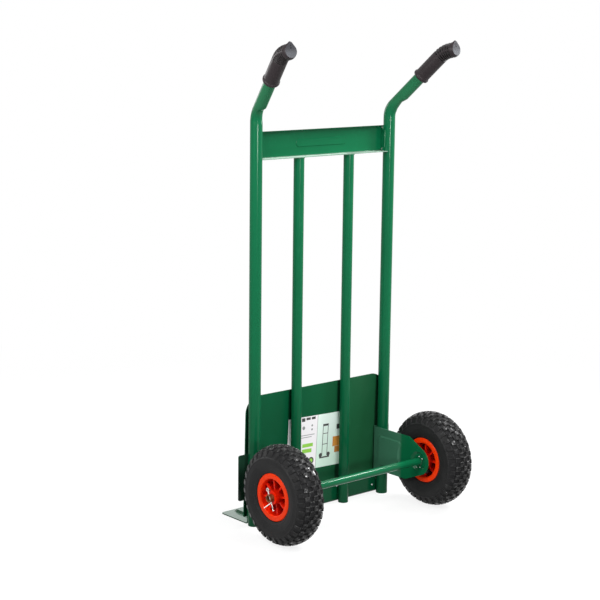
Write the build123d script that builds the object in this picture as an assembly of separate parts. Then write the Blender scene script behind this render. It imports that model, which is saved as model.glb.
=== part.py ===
from build123d import *
import os
from math import asin, atan2, cos, degrees, hypot, radians, sin, sqrt, tan

# Two-wheel hand truck with a folding load plate, in millimetres.
# X runs across the truck, -Y is the load side, +Y the user's side, and Z rises from the floor.
# Every Y below is measured from the plane of the uprights, and the export moves it to the origin.

# Frame tubes
upright_spacing = 463.0
upright_od = 32.0
upright_wall = 2.0
inner_bar_spacing = 174.0
inner_bar_od = 28.0
inner_bar_wall = 1.8

# Handles, bent from the tops of the uprights: rise is above level, splay is outwards
handle_corner_height = 1076.0
handle_bend_radius = 46.0
handle_rise_angle = 44.1
handle_splay_angle = 16.8
handle_run = 226.0
hand_bend_radius = 60.0
hand_rise_angle = 11.0
hand_splay_angle = 7.0
hand_run = 33.0

# Hand grips
grip_start = 127.0
grip_od = 40.0
grip_end_wall = 4.0
grip_collar_od = 45.0
grip_collar_length = 9.0
grip_end_inset = 0.8
grip_end_rounding = 2.0
grip_end_slope_angle = 40.0
grip_guard_rise = 6.0
grip_guard_tip_radius = 8.0
grip_guard_length = 8.0
grip_guard_flare_angle = 37.0

# Pressed top panel
panel_bottom = 963.0
panel_height = 70.5
panel_sheet = 2.0
panel_bend_radius = 3.0
panel_lower_flange = 28.0
panel_upper_flange = 10.0
panel_tab_relief = 9.0
panel_bead_length = 176.0
panel_bead_height = 20.0
panel_bead_depth = 1.5
panel_bead_slope_angle = 40.0

# Axle, as high as the tyre's radius
axle_od = 20.0
axle_wall = 2.5
axle_setback = 160.5

# Axle brackets
bracket_sheet = 3.0
bracket_bend_radius = 3.0
bracket_top = 192.0
bracket_bottom = 68.5
bracket_top_run = 124.0
bracket_bottom_run = 112.0
bracket_corner_radius = 14.0
bracket_nose_radius = 38.5
bracket_ear_reach = 39.0
bracket_ear_corner = 5.0
bracket_field_front = 6.0
bracket_field_bottom = 84.0
bracket_field_top = 171.0
bracket_field_nose_radius = 73.0
bracket_field_corner_radius = 9.0
bracket_field_depth = 4.0
bracket_field_slope_angle = 40.0
cup_mouth_radius = 27.0
cup_floor_radius = 20.0
cup_depth = 6.0
spacer_od = 32.0
spacer_length = 7.3

# Toe plate
toe_width = 480.0
toe_reach = 130.0
toe_sheet = 3.0
toe_bend_radius = 5.0
toe_wall_top = 58.0
toe_wall_corner = 10.0
toe_tip_corner = 7.0
toe_field_side_border = 31.0
toe_field_tip_border = 9.0
toe_field_back = 42.0
toe_field_height = 7.0
toe_field_slope_angle = 45.0
toe_field_corner = 14.0

# Folding plate and its hinge
plate_width = 492.0
plate_top = 344.0
plate_sheet = 3.0
plate_corner_radius = 45.0
plate_rest_gap = 0.5
plate_stop_gap = 0.4
knuckle_od = 14.0
knuckle_length = 56.0
knuckle_spacing = 250.0
eye_length = 24.0
eye_spacing = 206.0
eye_web_below = 3.0
eye_web_above = 6.0
hinge_rod_od = 8.0
hinge_rod_stick_out = 6.0
hinge_head_od = 13.0
hinge_head_length = 3.0
hinge_clip_od = 13.0
hinge_clip_length = 1.6

# Rim
rim_lip_radius = 62.0
rim_lip_width = 72.0
rim_lip_thickness = 7.2
rim_seat_radius = 50.8
rim_drop_radius = 46.0
rim_drop_half = 12.0
rim_seat_half = 18.0
rim_wall = 4.0
rim_web = 5.0
hub_length = 75.0
hub_face_radius = 17.5
hub_root_radius = 20.0
rib_count = 8
rib_thickness = 4.8
rib_half_height = 26.0
left_rib_angle = 10.0
right_rib_angle = 0.0

# Tyre, the knobs of its tread and the inner tube
tyre_od = 260.0
tyre_width = 85.0
tyre_widest_radius = 88.9
tyre_shoulder_half = 32.0
tyre_shoulder_drop = 10.0
tyre_tread = 8.0
tyre_sidewall = 5.0
tyre_bead_width = 9.0
tyre_bead_height = 6.0
tyre_lip_gap = 1.6
tyre_lip_cover = 3.0
tread_depth = 4.6
tread_foot = 19.5
tread_foot_step = 2.5
knob_count = 32
knob_rows_each_side = 2
knob_row_spacing = 12.4
knob_width = 11.4
knob_share = 0.5
knob_root = 0.8
lug_start = 0.4
lug_share = 0.47
inner_tube_radius = 33.0
inner_tube_wall = 2.0

# Valve, on the wheel's inner side
valve_radius = 3.6
valve_offset = 9.0
valve_elbow_radius = 33.0
valve_bend_radius = 8.0
valve_reach = 37.0
valve_cap_radius = 4.8
valve_cap_length = 9.0
valve_cap_grip = 5.0
valve_window_count = 1.5

# Roller bearing in the hub
bearing_pocket_radius = 14.0
bearing_shoulder = 17.0
hub_ring_width = 5.0
roller_count = 8
roller_end_margin = 4.0

# Split pins
pin_hub_gap = 3.9
pin_end_margin = 6.0
pin_tilt_angle = 27.0
pin_od = 3.8
pin_eye_height = 22.0
pin_eye_radius = 3.7
pin_wire_radius = 1.3
pin_leg_bend = 4.0
pin_leg_length = 22.0
pin_leg_ways = ((0.0, 0.36, -0.93), (0.68, -0.48, -0.6))

# Clearances
weld_fit = 0.05
running_fit = 0.05
loose_fit = 0.3
bead_fit = 0.2
wheel_play = 0.4
knuckle_gap = 0.4
pin_hole_fit = 0.2

# Places worked out from the sizes above
upright_x = upright_spacing / 2
upright_radius = upright_od / 2
tube_front = -upright_radius
inner_bar_x = inner_bar_spacing / 2
inner_bar_y = tube_front + inner_bar_od / 2
axle_radius = axle_od / 2
tyre_radius = tyre_od / 2
axle_height = tyre_radius
bracket_inner_x = upright_x - upright_radius - bracket_sheet
bracket_outer_x = bracket_inner_x + bracket_sheet
bracket_front = tube_front - bracket_sheet
cup_face_x = bracket_outer_x + cup_depth
hub_inner_x = cup_face_x + spacer_length + wheel_play
wheel_x = hub_inner_x + hub_length / 2
hub_outer_x = wheel_x + hub_length / 2
pin_x = hub_outer_x + pin_hub_gap + pin_od / 2
axle_end_x = pin_x + pin_end_margin
toe_wall_front = tube_front - toe_sheet
toe_field_top = toe_sheet + toe_field_height
knuckle_radius = knuckle_od / 2
hinge_radius = hinge_rod_od / 2
hinge_y = toe_wall_front - knuckle_radius - knuckle_gap
hinge_z = toe_field_top + plate_rest_gap + plate_sheet / 2
lip_radius = rim_lip_thickness / 2
lip_x = rim_lip_width / 2 - lip_radius
flange_inner_x = lip_x - lip_radius
uprights_y = (toe_reach - axle_setback - tyre_radius) / 2


def direction(rise, splay):
    """Unit vector that points back, up by rise and outwards by splay, in degrees."""
    level = cos(radians(rise))
    return Vector(level * sin(radians(splay)), level * cos(radians(splay)), sin(radians(rise)))


def bent_path(points, radii):
    """Straight runs joined by tangent arcs, with one radius for each inner corner."""
    path = Curve()
    start = points[0]
    for before, corner, after, radius in zip(points, points[1:], points[2:], radii):
        along = (corner - before).normalized()
        onward = (after - corner).normalized()
        half_turn = radians(along.get_angle(onward) / 2)
        reach = radius * tan(half_turn)
        inwards = (onward - along).normalized()
        first = corner - along * reach
        middle = corner + inwards * radius * (1 / cos(half_turn) - 1)
        last = corner + onward * reach
        path += Line(start, first)
        path += ThreePointArc(first, middle, last)
        start = last
    path += Line(start, points[-1])
    return path


def rod_along(points, radii, radius):
    """Round bar of one radius along a bent path."""
    start = Plane(origin=points[0], z_dir=points[1] - points[0])
    return sweep(start * Circle(radius), path=bent_path(points, radii))


def nearest_corner(face, x, y):
    """Corner of a flat outline that lies nearest to a point."""
    return face.vertices().sort_by_distance((x, y, 0))[0]


def bar_x(radius, low_x, high_x):
    """Round bar along X between two places."""
    bar = Cylinder(radius, high_x - low_x, align=(Align.CENTER, Align.CENTER, Align.MIN))
    return Pos(low_x, 0, 0) * Rot(0, 90, 0) * bar


def ring_x(outer_radius, inner_radius, low_x, high_x):
    """Ring round the X axis between two places."""
    return bar_x(outer_radius, low_x, high_x) - bar_x(inner_radius, low_x, high_x)


def mirrored(points):
    """Points of a profile's other half, in reverse order."""
    return [(-x, radius) for x, radius in reversed(points)]


handle_way = direction(handle_rise_angle, handle_splay_angle)
hand_way = direction(hand_rise_angle, hand_splay_angle)
handle_corner = Vector(upright_x, 0, handle_corner_height)
hand_corner = handle_corner + handle_way * handle_run
handle_end = hand_corner + hand_way * hand_run
grip_mouth = handle_corner + handle_way * grip_start
grip_end = handle_end + hand_way * grip_end_wall


def upright():
    """Upright tube with its two bends, from the floor to the end of the handle."""
    points = [Vector(upright_x, 0, 0), handle_corner, hand_corner, handle_end]
    radii = [handle_bend_radius, hand_bend_radius]
    bore = rod_along(points, radii, upright_radius - upright_wall)
    return rod_along(points, radii, upright_radius) - bore


def grip():
    """Moulded grip: collar at its mouth, sleeve round the bend, guard above its closed end."""
    bends = [hand_bend_radius]
    sleeve = rod_along([grip_mouth, hand_corner, grip_end], bends, grip_od / 2)
    mouth = Plane(origin=grip_mouth, z_dir=handle_way)
    middle_up = (Align.CENTER, Align.CENTER, Align.MIN)
    collar = Cylinder(grip_collar_od / 2, grip_collar_length, align=middle_up)
    collar = fillet(collar.edges().filter_by(GeomType.CIRCLE), (grip_collar_od - grip_od) / 2 - weld_fit)
    end = Plane(origin=grip_end, x_dir=Vector(0, 0, 1).cross(hand_way), z_dir=hand_way)
    tip_height = grip_od / 2 + grip_guard_rise - grip_guard_tip_radius
    tip = Pos(0, tip_height) * Circle(grip_guard_tip_radius)
    egg = make_hull(Circle(grip_od / 2 - grip_end_inset).edges() + tip.edges())
    guard = extrude(end * egg, amount=-grip_guard_length, taper=grip_guard_flare_angle)
    cap = extrude(end * egg, amount=grip_end_rounding, taper=grip_end_slope_angle)
    bore = rod_along([grip_mouth, hand_corner, handle_end], bends, upright_radius + weld_fit)
    return sleeve + guard + cap + mouth * collar - bore


def inner_bar():
    """Plain bar from the floor to the underside of the top panel."""
    radius = inner_bar_od / 2
    section = Circle(radius) - Circle(radius - inner_bar_wall)
    return extrude(Pos(inner_bar_x, inner_bar_y) * section, amount=panel_bottom)


def top_panel():
    """Pressed channel: flat web at the front, flanges turned back, end tabs against the uprights."""
    top = panel_bottom + panel_height
    web_back = tube_front + panel_sheet
    low_edge = tube_front + panel_lower_flange
    high_edge = tube_front + panel_upper_flange
    half_width = upright_x - upright_radius + panel_sheet
    outline = Polyline(
        (low_edge, panel_bottom),
        (tube_front, panel_bottom),
        (tube_front, top),
        (high_edge, top),
        (high_edge, top - panel_sheet),
        (web_back, top - panel_sheet),
        (web_back, panel_bottom + panel_sheet),
        (low_edge, panel_bottom + panel_sheet),
        close=True,
    )
    section = make_face(outline)
    outer_corners = [nearest_corner(section, tube_front, z) for z in (panel_bottom, top)]
    section = fillet(outer_corners, panel_bend_radius + panel_sheet)
    inner_places = (panel_bottom + panel_sheet, top - panel_sheet)
    section = fillet([nearest_corner(section, web_back, z) for z in inner_places], panel_bend_radius)
    panel = extrude(Plane.YZ * section, amount=half_width, both=True)
    tab_height = panel_height - 2 * panel_tab_relief
    middle = panel_bottom + panel_height / 2
    tab_align = (Align.MAX, Align.MIN, Align.CENTER)
    tab = Box(panel_sheet, upright_radius, tab_height, align=tab_align)
    tab = Pos(half_width, tube_front, middle) * tab
    panel += tab + mirror(tab, about=Plane.YZ)
    facing_back = Plane(origin=(0, web_back, middle), x_dir=(-1, 0, 0), z_dir=(0, 1, 0))
    slot = facing_back * SlotOverall(panel_bead_length, panel_bead_height)
    bead = extrude(slot, amount=panel_bead_depth, taper=panel_bead_slope_angle)
    panel = panel + bead - Pos(0, -panel_sheet, 0) * bead
    post = Cylinder(upright_radius + weld_fit, 2 * top)
    return panel - Pos(upright_x, 0, 0) * post - Pos(-upright_x, 0, 0) * post


def axle_bracket():
    """Pressed bracket on the inner side of an upright, with a flange that wraps round its front."""
    nose = Pos(axle_setback, axle_height) * Circle(bracket_nose_radius)
    top_edge = Line((bracket_front, bracket_top), (bracket_top_run, bracket_top))
    bottom_edge = Line((bracket_front, bracket_bottom), (bracket_bottom_run, bracket_bottom))
    outline = make_hull(nose.edges() + top_edge.edges() + bottom_edge.edges())
    turns = ((bracket_top_run, bracket_top), (bracket_bottom_run, bracket_bottom))
    outline = fillet([nearest_corner(outline, y, z) for y, z in turns], bracket_corner_radius)
    inner_side = Plane(origin=(bracket_inner_x, 0, 0), x_dir=(0, 1, 0), z_dir=(1, 0, 0))
    bracket = extrude(inner_side * outline, amount=bracket_sheet)
    ear_width = upright_x + bracket_ear_reach - bracket_inner_x
    ear_height = bracket_top - bracket_bottom
    ear = Box(ear_width, bracket_sheet, ear_height, align=(Align.MIN, Align.MIN, Align.MIN))
    ear = fillet(ear.edges().filter_by(Axis.Y).sort_by(Axis.X)[-2:], bracket_ear_corner)
    bracket += Pos(bracket_inner_x, bracket_front, bracket_bottom) * ear
    upward = bracket.edges().filter_by(Axis.Z)
    middle = (bracket_top + bracket_bottom) / 2
    inside_bend = upward.sort_by_distance((bracket_outer_x, tube_front, middle))[0]
    bracket = fillet(inside_bend, bracket_bend_radius)
    upward = bracket.edges().filter_by(Axis.Z)
    outside_bend = upward.sort_by_distance((bracket_inner_x, bracket_front, middle))[0]
    bracket = fillet(outside_bend, bracket_bend_radius + bracket_sheet)

    field_size = (axle_setback - bracket_field_front, bracket_field_top - bracket_field_bottom)
    field = Rectangle(*field_size, align=(Align.MIN, Align.MIN))
    field = Pos(bracket_field_front, bracket_field_bottom) * field
    field -= Pos(axle_setback, axle_height) * Circle(bracket_field_nose_radius)
    field = fillet(field.vertices(), bracket_field_corner_radius)
    outer_side = Plane(origin=(bracket_outer_x, 0, 0), x_dir=(0, 1, 0), z_dir=(1, 0, 0))
    raised = extrude(inner_side * field, amount=-bracket_field_depth, taper=bracket_field_slope_angle)
    hollow = extrude(outer_side * field, amount=-bracket_field_depth, taper=bracket_field_slope_angle)
    bracket = bracket + raised - hollow

    cup_align = (Align.CENTER, Align.CENTER, Align.MIN)
    cup = Cone(cup_mouth_radius, cup_floor_radius, cup_depth, align=cup_align)
    outwards = Pos(0, axle_setback, axle_height) * Rot(0, 90, 0)
    bracket += Pos(bracket_outer_x, 0, 0) * outwards * cup
    bracket -= Pos(bracket_inner_x, 0, 0) * outwards * cup
    return bracket - Pos(0, axle_setback, axle_height) * bar_x(axle_radius + weld_fit, 0, cup_face_x)


def spacer_washer():
    """Washer on the axle between the bracket's cup and the wheel's hub."""
    washer = ring_x(spacer_od / 2, axle_radius + weld_fit, cup_face_x, cup_face_x + spacer_length)
    return Pos(0, axle_setback, axle_height) * washer


def pin_frame(side):
    """Place of a split pin: its origin on the axle's centre line, its Z towards the eye."""
    tilt = radians(pin_tilt_angle)
    middle = (side * pin_x, axle_setback, axle_height)
    return Plane(origin=middle, x_dir=(1, 0, 0), z_dir=(0, -sin(tilt), cos(tilt)))


def axle():
    """Axle tube across the truck, drilled near its ends for the split pins."""
    tube = ring_x(axle_radius, axle_radius - axle_wall, -axle_end_x, axle_end_x)
    tube = Pos(0, axle_setback, axle_height) * tube
    for side in (-1, 1):
        tube -= pin_frame(side) * Cylinder(pin_od / 2 + pin_hole_fit, 2 * axle_od)
    return tube


def split_pin():
    """Split pin at the +X end: eye above the axle, shank through it, two legs bent apart below."""
    frame = pin_frame(1)
    shank_foot = -axle_radius - pin_od / 2
    shank_top = pin_eye_height - pin_eye_radius
    shank = Cylinder(pin_od / 2, shank_top - shank_foot, align=(Align.CENTER, Align.CENTER, Align.MIN))
    pin = frame * Pos(0, 0, shank_foot) * shank
    pin += frame * Pos(0, 0, pin_eye_height) * Rot(0, 90, 0) * Torus(pin_eye_radius, pin_wire_radius)
    fork = frame.from_local_coords(Vector(0, 0, shank_foot))
    root = frame.from_local_coords(Vector(0, 0, shank_foot + pin_od))
    for way in pin_leg_ways:
        tip = fork + Vector(*way) * pin_leg_length
        pin += rod_along([root, fork, tip], [pin_leg_bend], pin_wire_radius)
    return pin


def toe_plate():
    """L of sheet: wall against the tubes, toe on the floor with a raised field pressed into it."""
    outer_radius = toe_bend_radius + toe_sheet
    outline = Polyline(
        (tube_front, toe_wall_top),
        (tube_front, 0),
        (-toe_reach, 0),
        (-toe_reach, toe_sheet),
        (toe_wall_front, toe_sheet),
        (toe_wall_front, toe_wall_top),
        close=True,
    )
    section = make_face(outline)
    section = fillet(nearest_corner(section, tube_front, 0), outer_radius)
    section = fillet(nearest_corner(section, toe_wall_front, toe_sheet), toe_bend_radius)
    toe = extrude(Plane.YZ * section, amount=toe_width / 2, both=True)
    tip_edges = toe.edges().filter_by(Axis.Z).group_by(Axis.Y)[0]
    toe = fillet(tip_edges, toe_tip_corner)
    wall_edges = toe.edges().filter_by(Axis.Y).group_by(Axis.Z)[-1]
    toe = fillet(wall_edges, toe_wall_corner)
    tip_side = toe_reach - toe_field_tip_border
    field = Rectangle(toe_width - 2 * toe_field_side_border, tip_side - toe_field_back)
    field = Pos(0, -(tip_side + toe_field_back) / 2) * fillet(field.vertices(), toe_field_corner)
    raised = extrude(Plane.XY * field, amount=toe_field_height, taper=toe_field_slope_angle)
    return toe + Pos(0, 0, toe_sheet) * raised - raised


def hinge_line(piece):
    """Move a piece from the X axis to the hinge of the folding plate."""
    return Pos(0, hinge_y, hinge_z) * piece


def eye_places():
    """Middles of the fixed eyes along the hinge."""
    return (-eye_spacing, 0, eye_spacing)


def knuckle_places():
    """Middles of the folding plate's knuckles along the hinge."""
    return (-knuckle_spacing / 2, knuckle_spacing / 2)


def hinge_eyes():
    """Fixed eyes that hold the hinge rod in front of the toe plate's wall."""
    web_depth = toe_wall_front - hinge_y
    eyes = []
    for x in eye_places():
        eye = bar_x(knuckle_radius, x - eye_length / 2, x + eye_length / 2)
        web_size = (eye_length, web_depth, eye_web_below + eye_web_above)
        eye += Pos(x, 0, -eye_web_below) * Box(*web_size, align=(Align.CENTER, Align.MIN, Align.MIN))
        eye -= bar_x(hinge_radius + running_fit, x - eye_length / 2, x + eye_length / 2)
        eyes.append(hinge_line(eye).solid())
    return Compound(eyes)


def hinge_rod():
    """Hinge rod through the eyes and knuckles, with a flat head at its +X end."""
    reach = eye_spacing + eye_length / 2
    rod = bar_x(hinge_radius, -reach - hinge_rod_stick_out, reach)
    return hinge_line(rod + bar_x(hinge_head_od / 2, reach, reach + hinge_head_length))


def hinge_clip():
    """Push-on clip that keeps the rod in, at its -X end."""
    face = -eye_spacing - eye_length / 2
    return hinge_line(ring_x(hinge_clip_od / 2, hinge_radius + weld_fit, face - hinge_clip_length, face))


def plate_lean():
    """Angle by which the folded plate leans back, until its top edge is at the uprights."""
    room = tube_front - plate_stop_gap - hinge_y
    height = plate_top - hinge_z
    return degrees(asin(room / hypot(height, plate_sheet / 2)) - atan2(plate_sheet / 2, height))


def folded(piece):
    """Lean a piece of the folding plate back about the hinge and put it in place."""
    return hinge_line(Rot(-plate_lean(), 0, 0) * piece)


def folding_plate():
    """Large load plate, folded up: rounded at its top corners, hollowed along its foot for the hinge."""
    height = plate_top - hinge_z
    sheet = Rectangle(plate_width, height, align=(Align.CENTER, Align.MIN))
    sheet = fillet(sheet.vertices().group_by(Axis.Y)[-1], plate_corner_radius)
    facing_back = Plane(origin=(0, -plate_sheet / 2, 0), x_dir=(-1, 0, 0), z_dir=(0, 1, 0))
    plate = extrude(facing_back * sheet, amount=plate_sheet)
    half_width = plate_width / 2
    clear = bar_x(knuckle_radius + knuckle_gap, -half_width, half_width)
    for x in knuckle_places():
        seat = ring_x(2 * knuckle_radius, knuckle_radius, x - knuckle_length / 2, x + knuckle_length / 2)
        clear -= seat
    return folded(plate - clear)


def plate_knuckles():
    """Short tubes along the foot of the folding plate that turn on the hinge rod."""
    knuckles = []
    for x in knuckle_places():
        ends = (x - knuckle_length / 2, x + knuckle_length / 2)
        knuckles.append(folded(ring_x(knuckle_radius, hinge_radius + running_fit, *ends)).solid())
    return Compound(knuckles)


def rim_outline():
    """Half-section of the rim in axial place and radius: hub, web, barrel and rolled lips."""
    half_hub = hub_length / 2
    half_web = rim_web / 2
    hub_half = [(half_hub, 0), (half_hub, hub_face_radius), (half_web, hub_root_radius)]
    hub = Polygon(*hub_half, *mirrored(hub_half), align=None)
    web = Rectangle(rim_web, rim_drop_radius, align=(Align.CENTER, Align.MIN))
    outside = [
        (lip_x, rim_seat_radius),
        (rim_seat_half, rim_seat_radius),
        (rim_drop_half, rim_drop_radius),
    ]
    inside = [(x, radius - rim_wall) for x, radius in outside]
    back_again = [(-x, radius) for x, radius in inside] + inside[::-1]
    barrel = Polygon(*outside, *mirrored(outside), *back_again, align=None)
    lip_height = rim_lip_radius - rim_seat_radius + rim_wall
    lip = Rot(0, 0, 90) * SlotOverall(lip_height, rim_lip_thickness)
    lip_middle = rim_lip_radius - lip_height / 2
    return hub + web + barrel + Pos(lip_x, lip_middle) * lip + Pos(-lip_x, lip_middle) * lip


def rim_rib():
    """One stiffening rib between the hub and the barrel, on both sides of the web."""
    root = hub_face_radius - rim_wall / 2
    half = [
        (rib_half_height, root),
        (rib_half_height, rim_seat_radius - rim_wall / 2),
        (rim_seat_half, rim_seat_radius - rim_wall / 2),
        (rim_drop_half, rim_drop_radius - rim_wall / 2),
    ]
    return extrude(Polygon(*half, *mirrored(half), align=None), amount=rib_thickness / 2, both=True)


def valve_angle():
    """Angle of the valve round the wheel from the first rib, in the middle of a window."""
    return -360 / rib_count * valve_window_count


def rim():
    """Plastic rim, with a pocket for the bearing and a hole for the valve."""
    body = revolve(rim_outline(), axis=Axis.X)
    for index in range(rib_count):
        body += Rot(index * 360 / rib_count, 0, 0) * rim_rib()
    half_hub = hub_length / 2
    body -= bar_x(bearing_pocket_radius, -half_hub, half_hub - bearing_shoulder)
    body -= bar_x(axle_radius + loose_fit, -half_hub, half_hub)
    outwards = Plane(origin=(-valve_offset, valve_elbow_radius, 0), z_dir=(0, 1, 0))
    hole = extrude(outwards * Circle(valve_radius + loose_fit), amount=rim_seat_radius)
    return body - Rot(valve_angle(), 0, 0) * hole


def outer_point(arc, run, sunk=0.0):
    """Point of the tyre's section at a run along one of its outer arcs, sunk below it."""
    share = run / arc.length
    way = arc % share
    return arc @ share - Vector(-way.Y, way.X) * sunk


def tyre_arcs():
    """Outside of the tyre's section, over its knobs: across the crown, and down the +X sidewall."""
    shoulder = (tyre_shoulder_half, tyre_radius - tyre_shoulder_drop)
    widest = (tyre_width / 2, tyre_widest_radius)
    lip_edge = (lip_x + tyre_lip_cover, rim_lip_radius + tyre_lip_gap / 2)
    crown = ThreePointArc((-shoulder[0], shoulder[1]), (0, tyre_radius), shoulder)
    return crown, ThreePointArc(shoulder, widest, lip_edge)


def tyre_casing():
    """Casing under the knobs: crown, bulging sidewalls and beads that sit inside the rim's lips."""
    crown, wall = tyre_arcs()
    lug_end = tread_foot - tread_foot_step
    floor_top = outer_point(crown, crown.length / 2, tread_depth)
    floor_edge = outer_point(wall, 0, tread_depth)
    lug_floor = outer_point(wall, lug_end / 2, tread_depth)
    lug_floor_end = outer_point(wall, lug_end, tread_depth)
    foot = outer_point(wall, tread_foot)
    flank = outer_point(wall, (tread_foot + wall.length) / 2)
    lip_top = rim_lip_radius + tyre_lip_gap
    bead_face = flange_inner_x - bead_fit
    bead_base = rim_seat_radius + bead_fit
    bead_toe = Vector(bead_face - tyre_bead_width, bead_base)
    bead = [
        wall @ 1,
        Vector(lip_x - lip_radius / 2, lip_top),
        Vector(bead_face, lip_top - lip_radius),
        Vector(bead_face, bead_base),
        bead_toe,
        bead_toe + Vector(0, tyre_bead_height),
    ]
    inner_top = Vector(0, tyre_radius - tyre_tread)
    inner_shoulder = Vector(tyre_shoulder_half - tyre_sidewall, inner_top.Y - tyre_shoulder_drop)
    inner_widest = Vector(tyre_width / 2 - tyre_sidewall, tyre_widest_radius)

    def same(point):
        return point

    def other(point):
        return Vector(-point.X, point.Y)

    edges = Curve() + ThreePointArc(other(floor_edge), floor_top, floor_edge)
    edges += ThreePointArc(other(inner_shoulder), inner_top, inner_shoulder)
    for side in (same, other):
        edges += ThreePointArc(side(floor_edge), side(lug_floor), side(lug_floor_end))
        edges += Line(side(lug_floor_end), side(foot))
        edges += ThreePointArc(side(foot), side(flank), side(wall @ 1))
        edges += Polyline(*[side(point) for point in bead])
        edges += ThreePointArc(side(bead[-1]), side(inner_widest), side(inner_shoulder))
    return revolve(make_face(edges), axis=Axis.X)


def knob(arc, start, end, share, turn):
    """Block of tread between two runs along an arc, a share of a pitch long, at a turn in pitches."""
    pitch = 360 / knob_count
    root = tread_depth + knob_root
    top = ThreePointArc(*[outer_point(arc, run) for run in (start, (start + end) / 2, end)])
    sides = Polyline(top @ 1, outer_point(arc, end, root), outer_point(arc, start, root), top @ 0)
    block = revolve(make_face(top + sides), axis=Axis.X, revolution_arc=share * pitch)
    return Rot((turn - share / 2) * pitch, 0, 0) * block


def tyre():
    """Tyre with staggered rows of knobs across its crown and a ring of lugs down each shoulder."""
    crown, wall = tyre_arcs()
    row = []
    for index in range(-knob_rows_each_side, knob_rows_each_side + 1):
        middle = crown.length / 2 + index * knob_row_spacing
        row.append(knob(crown, middle - knob_width / 2, middle + knob_width / 2, knob_share, index / 2))
    lug = knob(wall, lug_start, tread_foot, lug_share, (knob_rows_each_side + 1) / 2)
    row += [lug, mirror(lug, about=Plane.YZ)]
    turns = [Rot(index * 360 / knob_count, 0, 0) for index in range(knob_count)]
    return tyre_casing().fuse(*[(turn * block).solid() for turn in turns for block in row])


def inner_tube_centre():
    """Radius of the middle of the inner tube's round section, just inside the tread."""
    return tyre_radius - tyre_tread - loose_fit - inner_tube_radius


def inner_tube():
    """Hollow rubber ring that fills the tyre."""
    section = Circle(inner_tube_radius) - Circle(inner_tube_radius - inner_tube_wall)
    return revolve(Pos(0, inner_tube_centre()) * section, axis=Axis.X)


def valve_stem():
    """Valve stem: in from the inner tube through the barrel, then bent out towards the bracket."""
    near = valve_offset - valve_radius
    top = inner_tube_centre() - sqrt(inner_tube_radius**2 - near**2) - weld_fit
    points = [
        Vector(-valve_offset, top, 0),
        Vector(-valve_offset, valve_elbow_radius, 0),
        Vector(-valve_reach, valve_elbow_radius, 0),
    ]
    return Rot(valve_angle(), 0, 0) * rod_along(points, [valve_bend_radius], valve_radius)


def valve_cap():
    """Screw cap on the end of the valve stem."""
    mouth = valve_cap_grip - valve_reach
    cap = bar_x(valve_cap_radius, mouth - valve_cap_length, mouth)
    cap -= bar_x(valve_radius + weld_fit, -valve_reach - weld_fit, mouth)
    return Rot(valve_angle(), 0, 0) * Pos(0, valve_elbow_radius, 0) * cap


def roller_radius():
    """Radius of a bearing roller that runs between the axle and the hub's pocket."""
    return (bearing_pocket_radius - axle_radius) / 2 - running_fit


def bearing_ends():
    """Ends of the bearing cage along the hub, from the hub ring to the pocket's shoulder."""
    half_hub = hub_length / 2
    return (hub_ring_width + loose_fit - half_hub, half_hub - bearing_shoulder - loose_fit)


def rollers(radius, ends):
    """Ring of round rollers between two places along the hub."""
    pitch = (bearing_pocket_radius + axle_radius) / 2
    roller = Pos(0, pitch, 0) * bar_x(radius, *ends)
    return [Rot(index * 360 / roller_count, 0, 0) * roller for index in range(roller_count)]


def bearing_rollers():
    """Steel rollers of the hub's bearing."""
    low, high = bearing_ends()
    ends = (low + roller_end_margin, high - roller_end_margin)
    return Compound([roller.solid() for roller in rollers(roller_radius(), ends)])


def bearing_cage():
    """Moulded cage that keeps the rollers apart."""
    low, high = bearing_ends()
    cage = ring_x(bearing_pocket_radius - loose_fit, axle_radius + loose_fit, low, high)
    margin = roller_end_margin - loose_fit
    for slot in rollers(roller_radius() + running_fit, (low + margin, high - margin)):
        cage -= slot
    return cage


def hub_ring():
    """Ring pressed into the hub's inner end, which shuts the bearing in."""
    inner_end = -hub_length / 2
    outer_radius = bearing_pocket_radius - weld_fit
    return ring_x(outer_radius, axle_radius + loose_fit, inner_end, inner_end + hub_ring_width)


def on_axle(piece, turn):
    """Put a wheel's piece on the +X end of the axle, turned about it."""
    return Pos(wheel_x, axle_setback, axle_height) * Rot(turn, 0, 0) * piece


def save(name, piece):
    """Write one node, moved so that the origin is under the middle of the whole truck."""
    export_step(Pos(0, uprights_y, 0) * piece, f"parts/{name}.step")


def save_pair(name, piece):
    """Write a piece of the +X side and its mirror image."""
    save(f"left_{name}", piece)
    save(f"right_{name}", mirror(piece, about=Plane.YZ))


os.makedirs("parts", exist_ok=True)

save_pair("upright", upright())
save_pair("grip", grip())
save_pair("inner_bar", inner_bar())
save_pair("axle_bracket", axle_bracket())
save_pair("spacer_washer", spacer_washer())
save_pair("split_pin", split_pin())

save("top_panel", top_panel())
save("axle", axle())
save("toe_plate", toe_plate())
save("hinge_eyes", hinge_eyes())
save("hinge_rod", hinge_rod())
save("hinge_clip", hinge_clip())
save("folding_plate", folding_plate())
save("plate_knuckles", plate_knuckles())

wheel_pieces = {
    "rim": rim(),
    "tyre": tyre(),
    "inner_tube": inner_tube(),
    "valve_stem": valve_stem(),
    "valve_cap": valve_cap(),
    "bearing_cage": bearing_cage(),
    "bearing_rollers": bearing_rollers(),
    "hub_ring": hub_ring(),
}
for name, piece in wheel_pieces.items():
    save(f"left_{name}", on_axle(piece, left_rib_angle))
    save(f"right_{name}", mirror(on_axle(piece, right_rib_angle), about=Plane.YZ))
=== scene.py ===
import math

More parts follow.
